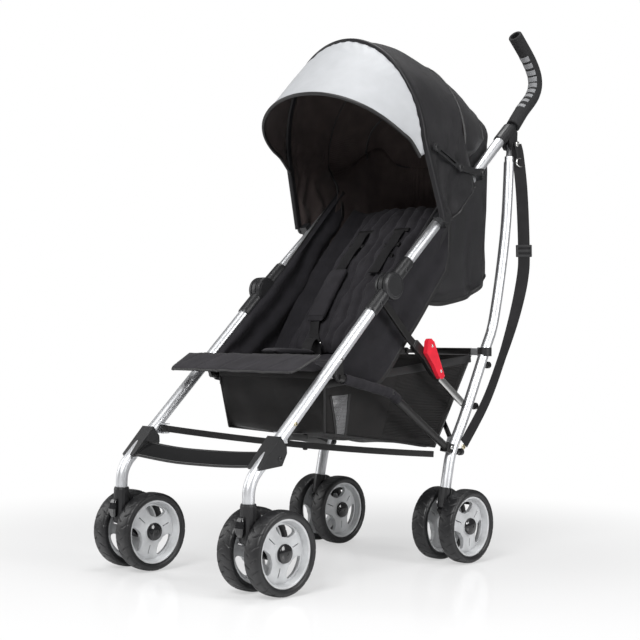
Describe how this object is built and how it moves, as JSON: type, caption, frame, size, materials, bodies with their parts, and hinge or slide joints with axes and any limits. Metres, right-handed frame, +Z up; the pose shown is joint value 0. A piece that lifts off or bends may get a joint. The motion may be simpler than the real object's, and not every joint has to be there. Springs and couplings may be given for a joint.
{
  "type": "lightweight stroller",
  "caption": "Folding umbrella stroller with curved foam grips, sling seat, reclining back, two-part canopy with a peak, basket, swivelling double front wheels and braked rear wheels.",
  "frame": {"origin": "on the floor, midway between the side frames and between the front of the front tyres and the back of the grips", "axes": "+Z up, the stroller faces -Y, +X to the seated child's left"},
  "size_m": [0.4276, 0.853, 1.0684],
  "materials": {
    "satin_aluminium": "satin",
    "wheel_plastic": "satin",
    "tyre_foam": "satin",
    "black_plastic": "satin",
    "gloss_black": "gloss",
    "black_steel": "satin",
    "grip_foam": "matte",
    "charcoal_cloth": "matte",
    "black_cloth": "matte",
    "visor_cloth": "satin",
    "latch_red": "gloss"
  },
  "bodies": {
    "seat_unit": {"seat_pan": "charcoal_cloth", "basket": "black_cloth", "hood_rear": "black_cloth", "footrest_strap": "black_cloth"},
    "left_side": {"front_leg_left": "satin_aluminium", "knuckle_left": "black_plastic", "handle_tube_left": "satin_aluminium", "grip_left": "grip_foam", "upper_bracket_left": "black_plastic", "footrest_bracket_left": "black_plastic", "rear_leg_left": "satin_aluminium", "rear_axle_block_left": "black_plastic", "seat_tube_left": "black_steel", "side_brace_left": "black_steel", "seat_wing_left": "charcoal_cloth", "carry_strap": "black_cloth"},
    "right_side": {"front_leg_right": "satin_aluminium", "knuckle_right": "black_plastic", "handle_tube_right": "satin_aluminium", "grip_right": "grip_foam", "upper_bracket_right": "black_plastic", "footrest_bracket_right": "black_plastic", "rear_leg_right": "satin_aluminium", "rear_axle_block_right": "black_plastic", "seat_tube_right": "black_steel", "side_brace_right": "black_steel", "seat_wing_right": "charcoal_cloth"},
    "floor_bar_left": {"floor_bar_left": "black_steel"},
    "rear_bar_left": {"rear_bar_left": "black_steel"},
    "rear_strut_left": {"rear_strut_left": "satin_aluminium"},
    "caster_left": {"caster_fork_left": "black_plastic"},
    "lock_left": {"swivel_lock_left": "gloss_black"},
    "wheels_front_left": {"wheelset_front_left": "wheel_plastic", "tyre_front_left_outer": "tyre_foam", "tyre_front_left_inner": "tyre_foam"},
    "wheels_rear_left": {"wheelset_rear_left": "wheel_plastic", "tyre_rear_left_outer": "tyre_foam", "tyre_rear_left_inner": "tyre_foam"},
    "brake_left": {"brake_pedal_left": "black_plastic"},
    "latch_left": {"red_latch_left": "latch_red"},
    "stay_left": {"canopy_stay_left": "black_plastic"},
    "floor_bar_right": {"floor_bar_right": "black_steel"},
    "rear_bar_right": {"rear_bar_right": "black_steel"},
    "rear_strut_right": {"rear_strut_right": "satin_aluminium"},
    "caster_right": {"caster_fork_right": "black_plastic"},
    "lock_right": {"swivel_lock_right": "gloss_black"},
    "wheels_front_right": {"wheelset_front_right": "wheel_plastic", "tyre_front_right_outer": "tyre_foam", "tyre_front_right_inner": "tyre_foam"},
    "wheels_rear_right": {"wheelset_rear_right": "wheel_plastic", "tyre_rear_right_outer": "tyre_foam", "tyre_rear_right_inner": "tyre_foam"},
    "brake_right": {"brake_pedal_right": "black_plastic"},
    "latch_right": {"red_latch_right": "latch_red"},
    "stay_right": {"canopy_stay_right": "black_plastic"},
    "backrest": {"backrest": "charcoal_cloth"},
    "calf_flap": {"calf_flap": "charcoal_cloth"},
    "canopy_front": {"canopy_bow": "black_plastic", "hood_front": "black_cloth"},
    "visor": {"visor": "visor_cloth"}
  },
  "joints": [
    {"name": "frame_fold", "type": "slide", "parent": "seat_unit", "child": "left_side", "axis": [-1, 0, 0], "range_m": [0, 0.062], "deforming": ["seat_pan", "backrest", "basket", "hood_front", "hood_rear", "visor", "canopy_bow", "calf_flap", "footrest_strap"]},
    {"name": "frame_fold_right", "type": "slide", "parent": "seat_unit", "child": "right_side", "axis": [1, 0, 0], "range_m": [0, 0.062]},
    {"name": "floor_bar_left", "type": "hinge", "parent": "left_side", "child": "floor_bar_left", "pos_m": [0.15, -0.3165, 0.253], "axis": [0, 0, -1], "range_deg": [0, 15.42]},
    {"name": "rear_bar_left", "type": "hinge", "parent": "left_side", "child": "rear_bar_left", "pos_m": [0.144, 0.243, 0.404], "axis": [0, 1, 0], "range_deg": [0, 55.3]},
    {"name": "rear_strut_left", "type": "hinge", "parent": "left_side", "child": "rear_strut_left", "pos_m": [0.15, 0.158, 0.229], "axis": [0, 0.883, -0.4693], "range_deg": [0, 18.08]},
    {"name": "caster_swivel_left", "type": "hinge", "parent": "left_side", "child": "caster_left", "pos_m": [0.165, -0.4, 0.12], "axis": [0, 0, 1], "continuous": true},
    {"name": "swivel_lock_left", "type": "hinge", "parent": "caster_left", "child": "lock_left", "pos_m": [0.165, -0.4162, 0.129], "axis": [-1, 0, 0], "range_deg": [0, 35]},
    {"name": "wheel_spin_front_left", "type": "hinge", "parent": "caster_left", "child": "wheels_front_left", "pos_m": [0.165, -0.3565, 0.07], "axis": [1, 0, 0], "continuous": true},
    {"name": "wheel_spin_rear_left", "type": "hinge", "parent": "left_side", "child": "wheels_rear_left", "pos_m": [0.165, 0.1462, 0.07], "axis": [1, 0, 0], "continuous": true},
    {"name": "brake_left", "type": "hinge", "parent": "left_side", "child": "brake_left", "pos_m": [0.165, 0.1565, 0.11], "axis": [-1, 0, 0], "range_deg": [0, 18]},
    {"name": "latch_left", "type": "hinge", "parent": "left_side", "child": "latch_left", "pos_m": [0.1709, 0.086, 0.361], "axis": [-1, 0, 0], "range_deg": [0, 20]},
    {"name": "floor_bar_right", "type": "hinge", "parent": "right_side", "child": "floor_bar_right", "pos_m": [-0.15, -0.3165, 0.253], "axis": [0, 0, 1], "range_deg": [0, 15.42]},
    {"name": "rear_bar_right", "type": "hinge", "parent": "right_side", "child": "rear_bar_right", "pos_m": [-0.144, 0.243, 0.404], "axis": [0, -1, 0], "range_deg": [0, 55.3]},
    {"name": "rear_strut_right", "type": "hinge", "parent": "right_side", "child": "rear_strut_right", "pos_m": [-0.15, 0.158, 0.229], "axis": [0, -0.883, 0.4693], "range_deg": [0, 18.08]},
    {"name": "caster_swivel_right", "type": "hinge", "parent": "right_side", "child": "caster_right", "pos_m": [-0.165, -0.4, 0.12], "axis": [0, 0, 1], "continuous": true},
    {"name": "swivel_lock_right", "type": "hinge", "parent": "caster_right", "child": "lock_right", "pos_m": [-0.165, -0.4162, 0.129], "axis": [-1, 0, 0], "range_deg": [0, 35]},
    {"name": "wheel_spin_front_right", "type": "hinge", "parent": "caster_right", "child": "wheels_front_right", "pos_m": [-0.165, -0.3565, 0.07], "axis": [1, 0, 0], "continuous": true},
    {"name": "wheel_spin_rear_right", "type": "hinge", "parent": "right_side", "child": "wheels_rear_right", "pos_m": [-0.165, 0.1462, 0.07], "axis": [1, 0, 0], "continuous": true},
    {"name": "brake_right", "type": "hinge", "parent": "right_side", "child": "brake_right", "pos_m": [-0.165, 0.1565, 0.11], "axis": [-1, 0, 0], "range_deg": [0, 18]},
    {"name": "latch_right", "type": "hinge", "parent": "right_side", "child": "latch_right", "pos_m": [-0.1709, 0.086, 0.361], "axis": [-1, 0, 0], "range_deg": [0, 20]},
    {"name": "recline", "type": "hinge", "parent": "seat_unit", "child": "backrest", "pos_m": [0, -0.03, 0.374], "axis": [-1, 0, 0], "range_deg": [0, 18]},
    {"name": "calf_flap", "type": "hinge", "parent": "seat_unit", "child": "calf_flap", "pos_m": [0, -0.238, 0.389], "axis": [1, 0, 0], "range_deg": [0, 35]},
    {"name": "canopy_fold", "type": "hinge", "parent": "seat_unit", "child": "canopy_front", "pos_m": [0, 0.079, 0.656], "axis": [-1, 0, 0], "range_deg": [0, 30]},
    {"name": "visor", "type": "hinge", "parent": "canopy_front", "child": "visor", "pos_m": [0, 0.05, 0.785], "axis": [-1, 0, 0], "range_deg": [0, 50]},
    {"name": "canopy_stay_left", "type": "hinge", "parent": "left_side", "child": "stay_left", "pos_m": [0.191, 0.193, 0.754], "axis": [-1, 0, 0], "range_deg": [0, 10.01]},
    {"name": "canopy_stay_right", "type": "hinge", "parent": "right_side", "child": "stay_right", "pos_m": [-0.191, 0.193, 0.754], "axis": [-1, 0, 0], "range_deg": [0, 10.01]}
  ],
  "couplings": [
    {"joint": "frame_fold_right", "follows": "frame_fold", "ratio": 1},
    {"joint": "floor_bar_left", "follows": "frame_fold", "rad_per_m": 4.3386},
    {"joint": "rear_bar_left", "follows": "frame_fold", "rad_per_m": 15.564},
    {"joint": "rear_strut_left", "follows": "frame_fold", "rad_per_m": 5.0876},
    {"joint": "floor_bar_right", "follows": "frame_fold", "rad_per_m": 4.3386},
    {"joint": "rear_bar_right", "follows": "frame_fold", "rad_per_m": 15.564},
    {"joint": "rear_strut_right", "follows": "frame_fold", "rad_per_m": 5.0876},
    {"joint": "canopy_stay_left", "follows": "canopy_fold", "ratio": 0.3333},
    {"joint": "canopy_stay_right", "follows": "canopy_fold", "ratio": 0.3333}
  ]
}
